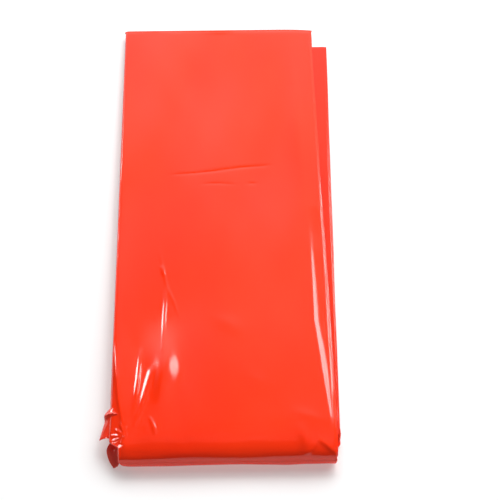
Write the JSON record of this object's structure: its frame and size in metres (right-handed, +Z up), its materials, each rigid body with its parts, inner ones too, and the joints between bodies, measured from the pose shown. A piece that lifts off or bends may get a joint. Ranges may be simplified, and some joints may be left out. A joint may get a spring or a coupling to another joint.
{
  "type": "folded plastic film bag",
  "caption": "Large bag of thin glossy plastic film, folded into a flat oblong pack that opens like a book at its thick rounded near fold.",
  "frame": {"origin": "middle of the pack's footprint, on the surface it lies on", "axes": "+X across the pack to the right, +Y along the pack from the near fold to the far end, +Z up"},
  "size_m": [0.1698, 0.4498, 0.0212],
  "materials": {
    "film": "thin glossy polythene film, orange-red, slightly translucent",
    "weld": "heat-sealed film, flatter and less glossy"
  },
  "bodies": {
    "lower_half": {"bottom_leaf_over": "film", "bottom_leaf_side_fold": "film", "bottom_leaf_under": "film", "bottom_weld": "weld", "corner_flap_lower": "film", "corner_tuck_right": "film", "inner_near_fold_lower": "film", "lower_inner_leaf_over": "film", "lower_inner_leaf_side_fold": "film", "lower_inner_leaf_under": "film", "outer_near_fold_lower": "film"},
    "upper_half": {"corner_flap_upper": "film", "far_fold_upper": "film", "inner_near_fold_upper": "film", "outer_near_fold_upper": "film", "top_leaf_over": "film", "top_leaf_side_fold": "film", "top_leaf_under": "film", "upper_inner_leaf_over": "film", "upper_inner_leaf_side_fold": "film", "upper_inner_leaf_under": "film"}
  },
  "joints": [
    {"name": "near_fold_open", "type": "hinge", "parent": "lower_half", "child": "upper_half", "pos_m": [0, -0.22507, 0.01105], "axis": [1, 0, 0], "range_deg": [0, 181.78]}
  ]
}
